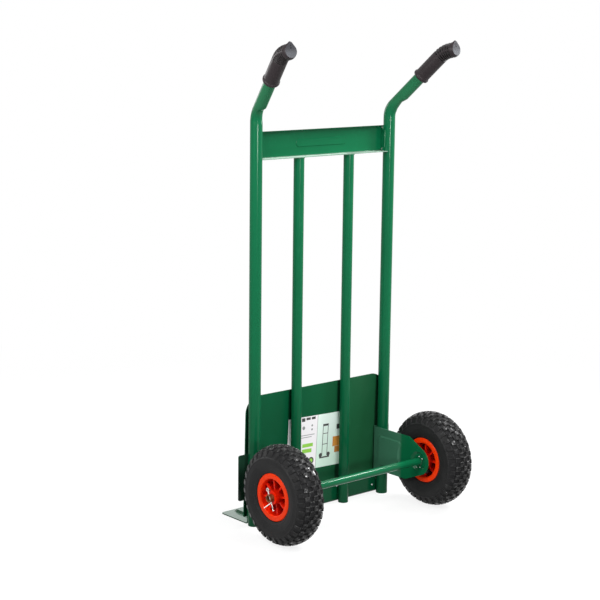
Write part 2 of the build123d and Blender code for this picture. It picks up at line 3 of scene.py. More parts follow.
import bpy
import numpy as np
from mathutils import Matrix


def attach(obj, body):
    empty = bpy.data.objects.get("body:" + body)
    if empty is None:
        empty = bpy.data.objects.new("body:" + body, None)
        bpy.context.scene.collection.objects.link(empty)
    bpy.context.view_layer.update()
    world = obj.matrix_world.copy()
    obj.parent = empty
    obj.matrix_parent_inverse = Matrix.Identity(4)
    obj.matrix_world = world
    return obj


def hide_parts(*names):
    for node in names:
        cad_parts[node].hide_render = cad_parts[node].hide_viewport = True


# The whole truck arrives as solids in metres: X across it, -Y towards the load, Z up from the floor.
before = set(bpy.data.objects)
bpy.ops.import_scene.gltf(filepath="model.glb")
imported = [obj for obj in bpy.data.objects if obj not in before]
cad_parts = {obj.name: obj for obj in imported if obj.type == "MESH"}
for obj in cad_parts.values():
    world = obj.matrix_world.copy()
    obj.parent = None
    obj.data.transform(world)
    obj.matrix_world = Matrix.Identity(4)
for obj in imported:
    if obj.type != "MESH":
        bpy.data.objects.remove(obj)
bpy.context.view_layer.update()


# UPRIGHTS AND INNER BARS
# The two uprights are 32 mm steel tube, bent back and outwards into handles on a small bender, which
# flattens the inside of the first bend. All steel of the frame has one semi-gloss green powder coat,
# which is painted paler on the handles as painted light.
MM = 0.001
UPRIGHTS_Y = -80.25 * MM
UPRIGHT_X = 231.5 * MM
UPRIGHT_RADIUS = 16 * MM
UPRIGHT_WALL = 2 * MM
HANDLE_CORNER_HEIGHT = 1076 * MM
HANDLE_BEND = 46 * MM
HANDLE_RUN = 226 * MM
BEND_START = 1056.5 * MM
HAND_BEND = 60 * MM
HAND_RUN = 33 * MM
TUBE_STEP = 2.5 * MM
TUBE_SIDES = 48
COAT_SHINE = 0.1
ACROSS = np.array([1.0, 0, 0])


class Flow:
    """One output of a finish's nodes. + - * and ** on it add Math nodes, also as 1 - mask."""

    def __init__(self, tree, socket=None):
        self.tree = tree
        self.socket = socket

    def node(self, kind, settings=None, values=None, output=0):
        """Add a node: its settings first, then a value or a link for each of its sockets."""
        made = self.tree.nodes.new("ShaderNode" + kind)
        for name, setting in (settings or {}).items():
            setattr(made, name, setting)
        for name, value in (values or {}).items():
            if isinstance(value, Flow):
                self.tree.links.new(value.socket, made.inputs[name])
            else:
                made.inputs[name].default_value = value
        return Flow(self.tree, made.outputs[output]) if len(made.outputs) else None

    def math(self, operation, *values):
        """Add a Math node on the values."""
        return self.node("Math", {"operation": operation}, dict(enumerate(values)))

    def __add__(self, other):
        return self.math("ADD", self, other)

    def __sub__(self, other):
        return self.math("SUBTRACT", self, other)

    def __rsub__(self, other):
        return self.math("SUBTRACT", other, self)

    def __mul__(self, other):
        return self.math("MULTIPLY", self, other)

    def __pow__(self, other):
        return self.math("POWER", self, other)

    def __abs__(self):
        return self.math("ABSOLUTE", self)

    __radd__ = __add__
    __rmul__ = __mul__


def noise(place, scale, detail=2.0, roughness=0.5):
    """Cloudy value from 0 to 1 with that many patches in a metre."""
    values = {"Vector": place, "Scale": scale, "Detail": detail, "Roughness": roughness}
    return place.node("TexNoise", None, values, "Fac")


def between(value, low, high):
    """0 below low, 1 above high, and a smooth rise from one to the other."""
    settings = {"interpolation_type": "SMOOTHSTEP"}
    return value.node("MapRange", settings, {"Value": value, "From Min": low, "From Max": high})


def mixed(mask, first, second):
    """First colour where the mask is 0, second where it is 1."""
    return mask.node("Mix", {"data_type": "RGBA"}, {0: mask, 6: first, 7: second}, 2)


def along(place):
    """The X, Y and Z of a place, as three values."""
    return [place.node("SeparateXYZ", None, {"Vector": place}, axis) for axis in "XYZ"]


def bump(height, distance, strength=1.0):
    """Normal of a surface that stands up by the height, times the distance in metres."""
    return height.node("Bump", None, {"Height": height, "Distance": distance, "Strength": strength})


def finish(name, build, **constants):
    """Material: constants go straight on the shader, and build(place) gives what varies by socket."""
    material = bpy.data.materials.new(name)
    material.use_nodes = True
    tree = material.node_tree
    shader = tree.nodes["Principled BSDF"]
    place = Flow(tree).node("TexCoord", output="Object")
    for socket, value in constants.items():
        shader.inputs[socket.replace("_", " ")].default_value = value
    for socket, value in build(place).items():
        tree.links.new(value.socket, shader.inputs[socket])
    return material


def dress(material, *names):
    """Give solids of the frame a finish."""
    for name in names:
        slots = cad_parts[name].data.materials
        slots.clear()
        slots.append(material)


def linear(red, green, blue):
    """Shader colour of a colour that a screen shows with these three numbers up to 255."""
    levels = np.array([red, green, blue]) / 255
    light = np.where(levels <= 0.04045, levels / 12.92, ((levels + 0.055) / 1.055) ** 2.4)
    return (*light.tolist(), 1.0)


def powder_coat(place, shade=1.0, relief=None, floor_shade=0.42):
    """Green coat with faint clouds, an orange-peel surface, a few rubbed patches, and painted shade that
    darkens it near the floor, as far as floor_shade says. The shade darkens it all over, and the relief is
    the height of hollows or folds under it, in metres."""
    thin, thick, worn, speck = (
        linear(*[level * shade for level in colour])
        for colour in ((8, 88, 54), (12, 97, 61), (28, 104, 72), (44, 118, 86))
    )
    cloud = noise(place, 7, 3)
    grain = noise(place, 900, 1)
    rubbed = between(noise(place, 26, 4, 0.6), 0.58, 0.72)
    colour = mixed(between(grain, 0.62, 0.8) * 0.05, mixed(cloud, thin, thick), speck)
    height = 0.008 * MM * noise(place, 250, 2) + 0.002 * MM * grain
    if relief:
        height = height + relief
    # Painted shade: the coat darkens towards the floor, where less light reaches.
    low = between(along(place)[2], 500 * MM, 100 * MM)
    return {
        "Base Color": mixed(low * floor_shade, mixed(rubbed * 0.18, colour, worn), linear(4, 30, 16)),
        "Roughness": 0.12 + 0.05 * cloud + 0.06 * rubbed,
        "Normal": bump(height, 1.0),
    }


def stain(coat, mask, red, green, blue):
    """Mix a colour into a coat's own, as far as the mask says."""
    coat["Base Color"] = mixed(mask, coat["Base Color"], linear(red, green, blue))


green_paint = finish("green_powder_coat", powder_coat, Specular_IOR_Level=COAT_SHINE)


def heading(rise, splay):
    """Unit vector that points back, up by rise and outwards by splay, in degrees."""
    rise, splay = math.radians(rise), math.radians(splay)
    level = math.cos(rise)
    return np.array([level * math.sin(splay), level * math.cos(splay), math.sin(rise)])


def bent_line(corners, radii, step):
    """Places and headings along straight runs joined by arcs. Each arc starts radius * tan(turn / 2)
    before its corner and turns evenly from one run's heading to the next."""
    ways = np.diff(corners, axis=0)
    ways /= np.linalg.norm(ways, axis=1)[:, None]
    places, headings, start = [], [], corners[0]

    def run_to(end, way, last):
        """Even steps along a straight run, from where the line has got to up to the end."""
        count = max(2, round(np.linalg.norm(end - start) / step))
        share = np.linspace(0, 1, count, endpoint=last)[:, None]
        places.append(start + share * (end - start))
        headings.append(np.tile(way, (count, 1)))

    for corner, way, onward, radius in zip(corners[1:-1], ways, ways[1:], radii):
        turn = math.acos(way @ onward)
        reach = radius * math.tan(turn / 2)
        first = corner - way * reach
        run_to(first, way, False)
        side = (onward - way * math.cos(turn)) / math.sin(turn)
        angle = np.linspace(0, turn, max(8, round(radius * turn / step)), endpoint=False)[:, None]
        places.append(first + radius * (np.sin(angle) * way + (1 - np.cos(angle)) * side))
        headings.append(np.cos(angle) * way + np.sin(angle) * side)
        start = corner + onward * reach
    run_to(corners[-1], ways[-1], True)
    return np.vstack(places), np.vstack(headings)


def rings(places, headings, across, radii):
    """Profile carried along a line: at each place a ring of the given radii, square to the heading.
    Angle 0 of a ring points along across x heading, and the angles turn right-handed about the heading."""
    radii = np.atleast_2d(radii)
    top = np.cross(across, headings)
    top /= np.linalg.norm(top, axis=1)[:, None]
    side = np.cross(headings, top)
    angle = np.linspace(0, 2 * np.pi, radii.shape[1], endpoint=False)
    spoke = np.cos(angle)[:, None] * top[:, None] + np.sin(angle)[:, None] * side[:, None]
    return places[:, None] + radii[..., None] * spoke


def ring_faces(rows, columns, closed=False):
    """Quads between neighbouring rings; a closed stack also joins the last ring to the first."""
    row, column = np.mgrid[0:rows if closed else rows - 1, 0:columns]
    above, beside = (row + 1) % rows, (column + 1) % columns
    corners = [(row, column), (row, beside), (above, beside), (above, column)]
    return np.stack([r * columns + c for r, c in corners], -1).reshape(-1, 4).tolist()


def mirrored(points, faces):
    """The same piece on the truck's other side, with its faces still pointing outwards."""
    return points * (-1, 1, 1), [face[::-1] for face in faces]


def piece(name, points, faces, material, body, slot, sharp=40, **marks):
    """Mesh object at the origin from places and faces, with a value at each place for every mark.
    It is smooth except over edges sharper than the angle, and rides on a body of the truck."""
    mesh = bpy.data.meshes.new(name)
    mesh.from_pydata(np.reshape(points, (-1, 3)).tolist(), [], faces)
    mesh.shade_smooth()
    mesh.set_sharp_from_angle(angle=math.radians(sharp))
    for mark, values in marks.items():
        values = np.asarray(values, np.float32)
        if values.ndim == 2:
            mesh.attributes.new(mark, "FLOAT_VECTOR", "POINT").data.foreach_set("vector", values.ravel())
        else:
            mesh.attributes.new(mark, "FLOAT", "POINT").data.foreach_set("value", values)
    mesh.materials.append(material)
    made = bpy.data.objects.new(name, mesh)
    bpy.context.scene.collection.objects.link(made)
    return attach(made, body)


handle_way = heading(rise=44.1, splay=16.8)
hand_way = heading(rise=11, splay=7)
upright_foot = np.array([UPRIGHT_X, UPRIGHTS_Y, 0])
handle_corner = upright_foot + (0, 0, HANDLE_CORNER_HEIGHT)
hand_corner = handle_corner + handle_way * HANDLE_RUN
handle_end = hand_corner + hand_way * HAND_RUN


def run_along(places):
    """Length of the line from its first place to each place."""
    return np.concatenate([[0], np.cumsum(np.linalg.norm(np.diff(places, axis=0), axis=1))])


def upright_tube(inside, crease, depth, fade, end):
    """Closed tube wall: rings of the outer radius up the bent line and of the bore's radius back down.
    The inside of the first bend, at that angle, is pushed in. The dent deepens evenly over its fade up to
    one crease, at that run past the bend's start, and comes out again within its end."""
    line = [upright_foot, handle_corner, hand_corner, handle_end]
    places, headings = bent_line(line, [HANDLE_BEND, HAND_BEND], TUBE_STEP)
    angle = np.linspace(0, 2 * np.pi, TUBE_SIDES, endpoint=False)
    around = np.clip(np.cos(angle - math.radians(inside)), 0, 1) ** 1.2
    past = (run_along(places) - BEND_START - crease)[:, None]
    dent = depth * np.clip(1 + past / fade, 0, 1) * np.clip(1 - past / end, 0, 1)
    outer = UPRIGHT_RADIUS - dent * around
    outside = rings(places, headings, ACROSS, outer)
    lining = rings(places, headings, ACROSS, outer - UPRIGHT_WALL)[::-1]
    return np.concatenate([outside, lining]), ring_faces(2 * len(places), TUBE_SIDES, closed=True)


def upright_coat(place):
    """Green coat painted paler above the bend, as painted light on the handles."""
    coat = powder_coat(place)
    # Painted light: the coat is mixed paler above the bend.
    painted_handle_light = between(along(place)[2], HANDLE_CORNER_HEIGHT - 10 * MM, HANDLE_CORNER_HEIGHT + 30 * MM)
    stain(coat, painted_handle_light * 0.11, 92, 128, 100)
    return coat


upright_paint = finish("green_upright_coat", upright_coat, Specular_IOR_Level=COAT_SHINE)
left_tube = upright_tube(inside=192, crease=44 * MM, depth=6.8 * MM, fade=45 * MM, end=13 * MM)
right_tube = upright_tube(inside=150, crease=58 * MM, depth=5 * MM, fade=35 * MM, end=16 * MM)
for side, shape in (("left", left_tube), ("right", mirrored(*right_tube))):
    upright = piece(f"{side}_upright_tube", *shape, upright_paint, "frame", "green_paint", sharp=28)
    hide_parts(f"{side}_upright")
dress(green_paint, "left_inner_bar", "right_inner_bar")


# TOP PANEL AND AXLE BRACKETS
# The panel between the uprights and the brackets that carry the axle are pressed from steel sheet, with
# turned edges and raised fields. They are welded to the tubes and painted with them.
PANEL_TOP = 1033.5 * MM
PANEL_FLANGE_TOP = 965 * MM
PANEL_WEB_Y = -94.3 * MM
PANEL_CURL = 20 * MM
FIELD_END = 13 * MM


def sheet_waves(place):
    """Height of the shallow hollows that pressed sheet keeps."""
    return 0.3 * MM * noise(place, 11, 1)


def panel_coat(place):
    """Coat over sheet that curls out towards its lower edge, where the height grows with the square of the
    way down, and on to a flange that falls off with a painted highlight. Painted shade darkens the top."""
    y, z = along(place)[1:]
    below = PANEL_FLANGE_TOP + PANEL_CURL - z
    below = below.math("MAXIMUM", below, 0)
    flange = between(z, PANEL_FLANGE_TOP + 1.2 * MM, PANEL_FLANGE_TOP + 0.4 * MM)
    fall = 1.1 * flange * (y - PANEL_WEB_Y)
    coat = powder_coat(place, relief=sheet_waves(place) + 5 * below**2 - fall)
    # Painted shade: darker over the top 45 mm of the panel, below its upper flange, darkest along the top
    # edge.
    top_shade = 0.3 * between(z, PANEL_TOP - 45 * MM, PANEL_TOP)
    edge = 0.4 * between(z, PANEL_TOP - 2.5 * MM, PANEL_TOP)
    stain(coat, top_shade + edge, 4, 44, 26)
    # Painted highlight: the lower flange is mixed towards pale grey and made a little metallic, as a painted
    # reflection.
    stain(coat, 0.3 * flange, 200, 206, 203)
    coat["Metallic"] = 0.2 * flange
    return coat


def bracket_coat(place):
    """Coat with a painted pale reflection over the raised field and the bracket's front, but not round the
    axle. The left bracket's front end has painted shadow, darkest low down."""
    x, y, z = along(place)
    coat = powder_coat(place, relief=sheet_waves(place), floor_shade=0.1)
    # Painted reflection: the coat is mixed paler in front of the field's rear end.
    field_sheen = between(y, FIELD_END + 5 * MM, FIELD_END - 5 * MM)
    stain(coat, field_sheen * 0.5, 74, 110, 94)
    # Painted shadow: the left bracket's front end is darkened, most of all low down.
    front_shadow = between(x, 0, 1 * MM) * between(y, UPRIGHTS_Y, UPRIGHTS_Y - 12 * MM)
    front_shadow = front_shadow * (0.5 + 0.35 * between(z, 180 * MM, 130 * MM))
    stain(coat, front_shadow, 10, 20, 12)
    return coat


dress(finish("green_panel_coat", panel_coat, Specular_IOR_Level=COAT_SHINE), "top_panel")
bracket_paint = finish("green_bracket_coat", bracket_coat, Specular_IOR_Level=COAT_SHINE)
dress(bracket_paint, "left_axle_bracket", "right_axle_bracket")


# TOE PLATE
# One bent sheet across the tubes' feet, with a raised field in the part that lies on the floor and eyes
# for the hinge in front of its wall. The thick coat ran out smooth on it, so it is the glossiest piece.
TOE_SHEET = 3 * MM
TOE_FIELD_TOP = 10 * MM


def stretched(place, *scale):
    """The place with its X, Y and Z scaled, for marks that run one way."""
    return place.node("Mapping", None, {"Vector": place, "Scale": scale})


def toe_coat(place):
    """Sheet coat with a shine on the level tops, which are also painted paler as a painted reflection, fine
    scratches there from loads slid on and off, and painted shade on the edges and sides."""
    coat = powder_coat(place, relief=sheet_waves(place))
    scratch = noise(stretched(place, 6, 1, 6), 90, 4, 0.7)
    y, z = along(place)[1:]
    tops = [between(abs(z - top), 0.6 * MM, 0.3 * MM) for top in (TOE_SHEET, TOE_FIELD_TOP)]
    past_wall = between(y, UPRIGHTS_Y - 20 * MM, UPRIGHTS_Y - 24 * MM)
    flat = (tops[0] + tops[1]) * past_wall
    worn = between(scratch, 0.6, 0.7) * flat
    # Painted shade: the edges and sides in front of the wall are darkened.
    stain(coat, past_wall * (1 - flat) * 0.65, 0, 48, 24)
    # Painted reflection: the level tops are mixed towards pale grey-green; the scratches there are wear and
    # paler still.
    stain(coat, flat * 0.3 + worn * 0.3, 170, 196, 184)
    coat["Roughness"] = coat["Roughness"] + 0.12 * worn
    coat["Coat Weight"] = flat
    return coat


toe_paint = finish("green_toe_coat", toe_coat, Specular_IOR_Level=COAT_SHINE, Coat_Roughness=0.08)
dress(toe_paint, "toe_plate")
dress(green_paint, "hinge_eyes")


# FOLDING PLATE
# The large load plate is plain sheet with two rounded corners, painted before it was hung on the hinge.
# Its coat is painted darker than the frame's as painted shade and is duller where boxes slide on it; it is
# painted lighter towards one side, and painted shadow makes dark bands on its rear face.
# Painted shade: the plate's whole coat is darkened by this share.
PLATE_PAINTED_SHADE = 0.9
INNER_BAR_X = 87 * MM
HINGE = np.array([0, -106.65, 12]) * MM
PLATE_LEAN = math.radians(1.467)


def plate_coat(place):
    """Coat darkened as painted shade, with upright rub marks, painted lighter towards -X to even out the
    shade there, and on the rear face a painted shadow: a dark band with uneven edges behind each bar and
    upright."""
    x, y, z = along(place)
    # The coat darkens all over as painted shade, and a little towards the floor.
    coat = powder_coat(place, PLATE_PAINTED_SHADE, sheet_waves(place), 0.2)
    off_middle = y - HINGE[1] - (z - HINGE[2]) * math.tan(PLATE_LEAN)
    uneven = 5 * MM * (noise(place, 40, 4, 0.6) - 0.5)
    # Painted shadow: a dark band behind each bar and upright on the rear face.
    shadow_bands = [between(abs(abs(x) - bar) + uneven, 16 * MM, 12 * MM) for bar in (INNER_BAR_X, UPRIGHT_X)]
    rubbed = (shadow_bands[0] + shadow_bands[1]) * between(off_middle, -0.5 * MM, 0.5 * MM)
    # Painted light: the coat is mixed paler towards -X, to even out the shade there.
    painted_light_side = between(x, 120 * MM, -180 * MM)
    stain(coat, painted_light_side * 0.07, 100, 118, 78)
    stain(coat, rubbed * 0.7, 3, 14, 8)
    rub = noise(stretched(place, 8, 1, 1), 22, 4, 0.6)
    coat["Roughness"] = coat["Roughness"] + 0.2 + 0.1 * between(rub, 0.52, 0.72)
    return coat


plate_paint = finish("green_plate_coat", plate_coat, Specular_IOR_Level=0.06)
dress(plate_paint, "folding_plate", "plate_knuckles")


# LABEL
# A printed paper label, two leaves wide, stuck a little crooked on the back of the folding plate. Its
# print is plain blocks and discs of colour, some of which make a simple outline of a truck.
PLATE_REAR = 1.5 * MM
LABEL_WIDTH = 210 * MM
LABEL_HEIGHT = 150 * MM
LABEL_MIDDLE = (3.5 * MM, 170.6 * MM)
LABEL_TURN = math.radians(-1.9)
LABEL_LIFT = 0.25 * MM
LABEL_CURL = 4 * MM
LABEL_GLUE = 0.02 * MM
PRINT_EDGE = 0.3 * MM


def grid_faces(rows, columns):
    """Quads of an open grid of places, row by row, and the places round its rim, turning the same way."""
    index = np.arange(rows * columns).reshape(rows, columns)
    corners = [index[:-1, :-1], index[:-1, 1:], index[1:, 1:], index[1:, :-1]]
    rim = np.concatenate([index[0], index[1:, -1], index[-1, -2::-1], index[-2:0:-1, 0]])
    return np.stack(corners, -1).reshape(-1, 4), rim


def label_sheet(rows=16, columns=22):
    """Closed thin sheet on the plate's rear face: a front grid that lifts a little near its free corners,
    a back grid on the plate, and the rim between them."""
    v, u = np.meshgrid(np.linspace(-0.5, 0.5, rows), np.linspace(-0.5, 0.5, columns), indexing="ij")
    u, v = u * LABEL_WIDTH, v * LABEL_HEIGHT
    aside = LABEL_MIDDLE[0] + u * math.cos(LABEL_TURN) - v * math.sin(LABEL_TURN)
    height = LABEL_MIDDLE[1] + u * math.sin(LABEL_TURN) + v * math.cos(LABEL_TURN)
    up = np.array([0, math.sin(PLATE_LEAN), math.cos(PLATE_LEAN)])
    out = np.array([0, math.cos(PLATE_LEAN), -math.sin(PLATE_LEAN)])
    flat = HINGE + aside[..., None] * (-1, 0, 0) + height[..., None] * up + PLATE_REAR * out
    corner = np.clip(np.abs(u) / LABEL_WIDTH + np.abs(v) / LABEL_HEIGHT - 0.85, 0, 1)
    front = flat + (LABEL_LIFT + LABEL_CURL * corner**1.5)[..., None] * out
    quads, rim = grid_faces(rows, columns)
    after = np.roll(rim, -1)
    behind = rows * columns
    edge = np.stack([rim, rim + behind, after + behind, after], -1)
    faces = np.concatenate([quads, quads[:, ::-1] + behind, edge]).tolist()
    place = np.stack([u, v, np.zeros_like(u)], -1).reshape(-1, 3)
    points = np.stack([front, flat + LABEL_GLUE * out]).reshape(-1, 3)
    return points, faces, np.concatenate([place, place])


def read_mark(place, name, output="Fac"):
    """What a piece's mesh holds at each place under a name: one value, or three as a Vector."""
    return place.node("Attribute", {"attribute_name": name}, None, output)


def label_print(place):
    """Left leaf white and right leaf pale green, with a fold between them, then blocks and discs of plain
    colour, each given in millimetres from the label's middle."""
    u, v = along(read_mark(place, "label_place", "Vector"))[:2]

    def stripe(value, low, high):
        """1 between two lines and 0 outside them, over a soft edge."""
        rise = between(value, low * MM - PRINT_EDGE, low * MM + PRINT_EDGE)
        return rise * between(value, high * MM + PRINT_EDGE, high * MM - PRINT_EDGE)

    def block(left, right, low, high):
        """1 in a rectangle: a stripe across times a stripe up."""
        return stripe(u, left, right) * stripe(v, low, high)

    def disc(middle, height, radius):
        """1 where the distance from the middle is under the radius."""
        off = ((u - middle * MM) ** 2 + (v - height * MM) ** 2) ** 0.5
        return between(off, radius * MM + PRINT_EDGE, radius * MM - PRINT_EDGE)

    leaf = between(u, -0.4 * MM, 0.4 * MM)
    green_leaf = mixed(between(v, -70 * MM, 70 * MM), linear(200, 226, 210), linear(222, 238, 230))
    colour = mixed(leaf, linear(232, 229, 232), green_leaf)
    ink, pale_ink, leaf_green = (44, 46, 44), (132, 134, 134), (134, 196, 62)
    prints = [
        (block(-1.1, 0.2, -75, 75), (120, 122, 120)),
        (block(58, 92, -22, 6), (196, 130, 40)),
        (block(66, 92, -40, -22.6), (178, 112, 30)),
        (block(70, 92, 26, 40), ink),
        (block(-52, -14, -11, -1), leaf_green),
        (block(-52, -18, -27, -16), leaf_green),
        (disc(-18, -51, 10), ink),
        (disc(-18, -51, 6), leaf_green),
        (block(-58, -46, 62, 72), ink),
        (block(-42, -27, 65, 72), ink),
        (block(-23, -9, 65, 72), ink),
        (disc(-50, 44, 5), pale_ink),
        (disc(-20, 48, 3), pale_ink),
        (disc(-20, 37, 3), pale_ink),
        (block(-58, -10, 22, 24), pale_ink),
        (block(-58, -20, 16, 18), pale_ink),
        (block(20, 22, -44, 46), ink),
        (block(38, 40, -44, 46), ink),
        (block(20, 40, 40, 46), ink),
        (block(20, 40, 18, 20), ink),
        (block(20, 40, -12, -10), ink),
        (block(12, 48, -50, -46), ink),
        (disc(16, -41, 6), ink),
        (disc(44, -41, 6), ink),
    ]
    for shape, shade in prints:
        colour = mixed(shape, colour, linear(*shade))
    fibre = noise(place, 600, 3)
    return {
        "Base Color": mixed(fibre * 0.08, colour, linear(196, 196, 194)),
        "Roughness": 0.36 + 0.14 * fibre,
        "Normal": bump(fibre, 0.04 * MM),
    }


label_points, label_faces, label_place = label_sheet()
label_paper = finish("printed_label_paper", label_print, Specular_IOR_Level=0.3)
label_marks = {"label_place": label_place}
piece("plate_label", label_points, label_faces, label_paper, "folding_plate", "green_paint", **label_marks)


# WELDS
# Short runs of weld hold the panel, brackets and toe to the tubes, the bars to the panel and the axle to
# the brackets. They were painted over, but bare metal shows on a few lumps, and some drops beside them
# stayed bright.
WELD_LUMP = 3.2 * MM
BEAD_STEP = 0.6 * MM
BEAD_SIDES = 8
BEAD_ROUND = 96
AXLE_Y = 80.25 * MM
AXLE_HEIGHT = 130 * MM
UP = np.array([0, 0, 1.0])


def weld_bead(places, headings, across, radius, closed=False):
    """Rings along a seam. The radius swells once in every lump, and tapers to nothing at open ends."""
    run = run_along(places)
    share = run / run[-1]
    swell = 0.78 + 0.3 * np.abs(np.sin(np.pi * share * round(run[-1] / WELD_LUMP)))
    taper = 1.0 if closed else np.clip(1 - (2 * share - 1) ** 6, 0.003, 1) ** 0.5
    radii = np.repeat((radius * swell * taper)[:, None], BEAD_SIDES, axis=1)
    stack = rings(places, headings, across, radii)
    faces = ring_faces(len(stack), BEAD_SIDES, closed)
    if not closed:
        last = BEAD_SIDES * (len(stack) - 1)
        faces += [list(range(BEAD_SIDES))[::-1], list(range(last, last + BEAD_SIDES))]
    return stack.reshape(-1, 3), faces


def straight_bead(x, y, low, high, radius):
    """Bead up a seam beside a tube, in millimetres from the plane of the uprights."""
    height = np.linspace(low, high, max(8, round((high - low) * MM / BEAD_STEP)))
    places = np.stack([np.full_like(height, x), np.full_like(height, y), height], -1) * MM
    return weld_bead(places + (0, UPRIGHTS_Y, 0), np.tile(UP, (len(height), 1)), ACROSS, radius * MM)


def ring_bead(centre, way, seam_radius, radius):
    """Bead round a tube that stands along the given way, in millimetres from the uprights' plane."""
    first = np.cross(way, (0, 1, 0))
    second = np.cross(way, first)
    angle = np.linspace(0, 2 * np.pi, BEAD_ROUND, endpoint=False)[:, None]
    places = (centre + seam_radius * (np.cos(angle) * first + np.sin(angle) * second)) * MM
    headings = np.cos(angle) * second - np.sin(angle) * first
    return weld_bead(places + (0, UPRIGHTS_Y, 0), headings, way, radius * MM, closed=True)


def joined(shapes):
    """Several sets of places and faces as one."""
    points, faces, first = [], [], 0
    for shape_points, shape_faces in shapes:
        points.append(shape_points)
        faces += [[corner + first for corner in face] for face in shape_faces]
        first += len(shape_points)
    return np.concatenate(points), faces


def weld_coat(place):
    """Green coat over lumpy weld, with small bright spots of bare metal."""
    coat = powder_coat(place)
    bare = between(noise(place, 190, 2), 0.68, 0.72)
    stain(coat, bare, 214, 220, 214)
    coat["Metallic"] = bare * 0.7
    return coat


tube_x, bar_x = UPRIGHT_X / MM, INNER_BAR_X / MM
panel_end = straight_bead(x=215.2, y=0.8, low=974, high=1022, radius=2.3)
bracket_seam = straight_bead(x=216.4, y=7.8, low=84, high=176, radius=2.0)
bar_top = ring_bead(np.array([bar_x, -2, 962.2]), UP, seam_radius=14.2, radius=1.6)
axle_middle = np.array([217.6, (AXLE_Y - UPRIGHTS_Y) / MM, AXLE_HEIGHT / MM])
axle_seam = ring_bead(axle_middle, ACROSS, seam_radius=10.8, radius=2.3)
beads = [panel_end, bracket_seam, bar_top, axle_seam]
panel_edges = ((963.6, 975), (1021, 1033))
beads += [straight_bead(216.8, -8, low, high, radius=3.4) for low, high in panel_edges]
toe_runs = ((11, 24), (36, 49))
toe_seam_y = -14.4
for low, high in toe_runs:
    beads += [straight_bead(tube_x + aside, toe_seam_y, low, high, radius=2.1) for aside in (-7.5, 7.5)]
    beads += [straight_bead(bar_x + aside, toe_seam_y, low, high, radius=2.1) for aside in (-7, 7)]
weld_points, weld_faces = joined(beads + [mirrored(*bead) for bead in beads])
painted_weld = finish("painted_weld", weld_coat, Specular_IOR_Level=0.3)
piece("frame_welds", weld_points, weld_faces, painted_weld, "frame", "green_paint", sharp=60)


def weld_drop(x, y, height, half, radius):
    """Short bead that reaches as far above a height as below it."""
    return straight_bead(x, y, height - half, height + half, radius)


def bare_metal(place):
    """Bright drops of weld that no paint stuck to."""
    flake = noise(place, 800, 2)
    return {
        "Base Color": mixed(flake, linear(196, 200, 196), linear(240, 242, 240)),
        "Roughness": 0.3 + 0.2 * flake,
    }


bracket_drops = [(159, 142.5), (140, 108), (163, 113), (141, 117), (151, 110), (171, 138)]
drops = [weld_drop(-218.2, y, height, half=1.6, radius=1.7) for y, height in bracket_drops]
toe_drops = [(-208.6, 22), (-74.2, 44.7)]
drops += [weld_drop(x, toe_seam_y - 1, height, half=2.4, radius=2.4) for x, height in toe_drops]
bare_weld = finish("bare_weld", bare_metal, Metallic=0.4)
piece("weld_drops", *joined(drops), bare_weld, "frame", "zinc_steel", sharp=60)


# SPLIT PINS, WASHERS AND HINGE ROD
# Small bought parts of zinc plated steel: split pins at the axle's ends, spacer washers beside the
# hubs, and the hinge rod with its push-on clip.
def zinc_plate(place):
    """Grey metal with the pale and dark flakes of plating and a little dullness in patches."""
    flake = noise(place, 700, 3, 0.6)
    cloud = noise(place, 90, 3)
    return {
        "Base Color": mixed(flake, linear(150, 148, 142), linear(222, 221, 218)),
        "Roughness": 0.26 + 0.3 * cloud,
        "Normal": bump(flake, 0.08 * MM, 0.5),
    }


zinc_steel = finish("zinc_plated_steel", zinc_plate, Metallic=1.0)
plated = ["split_pin", "spacer_washer"]
dress(zinc_steel, *[f"{side}_{part}" for side in ("left", "right") for part in plated])
dress(zinc_steel, "hinge_rod", "hinge_clip")


# AXLE
# One steel tube through both brackets. It was painted in place between them, and its ends, which sit
# in the hubs, are bare and brown with a first film of rust.
AXLE_PAINTED_TO = 222 * MM


def axle_coat(place):
    """Green coat in the middle, and brown bare steel past the brackets."""
    x = along(place)[0]
    coat = powder_coat(place, floor_shade=0.0)
    rust = noise(place, 160, 4, 0.6)
    bare = between(abs(x) + 4 * MM * rust, AXLE_PAINTED_TO, AXLE_PAINTED_TO + 2 * MM)
    brown = mixed(rust, linear(74, 44, 26), linear(164, 104, 66))
    roughness = (1 - bare) * 0.08 + bare * (0.3 + 0.3 * rust)
    return {
        "Base Color": mixed(bare, coat["Base Color"], brown),
        "Roughness": roughness,
        "Metallic": bare * 0.55,
        "Normal": coat["Normal"],
    }


dress(finish("painted_axle", axle_coat, Specular_IOR_Level=0.12), "axle")


# HAND GRIPS
# Each grip is one soft black rubber moulding pushed over the handle: a rolled collar at its mouth, a
# plain sleeve, ribs above and below round the bend, and a flat end with a guard above the hand.
GRIP_START = 127 * MM
GRIP_RADIUS = 20 * MM
GRIP_END_WALL = 4 * MM
GRIP_COLLAR_RADIUS = 22.4 * MM
GRIP_COLLAR_LENGTH = 9 * MM
GRIP_BORE = 16.05 * MM
GRIP_FACE_RADIUS = 17.6 * MM
GRIP_GUARD_RISE = 6.4 * MM
GRIP_GUARD_TIP = 7 * MM
GRIP_GUARD_LENGTH = 8 * MM
GRIP_CAP = 2 * MM
RIB_PITCH = 7.8 * MM
RIB_DEPTH = 2.6 * MM
RIB_COUNT = 6
GRIP_STEP = 0.9 * MM
GRIP_SIDES = 72
VENT_HEIGHTS = (7.5 * MM, 13.5 * MM)


def egg_radius(angle, radius, tip, rise):
    """Reach of an egg from its middle: the farthest point in each direction of all circles between
    the round sleeve and a small circle above it."""
    share = np.linspace(0, 1, 60)[:, None]
    height = share * (radius + rise - tip)
    circle = radius + share * (tip - radius)
    lift = height * np.cos(angle)
    room = circle**2 - height**2 + lift**2
    return np.where(room > 0, lift + np.sqrt(np.maximum(room, 0)), 0).max(axis=0)


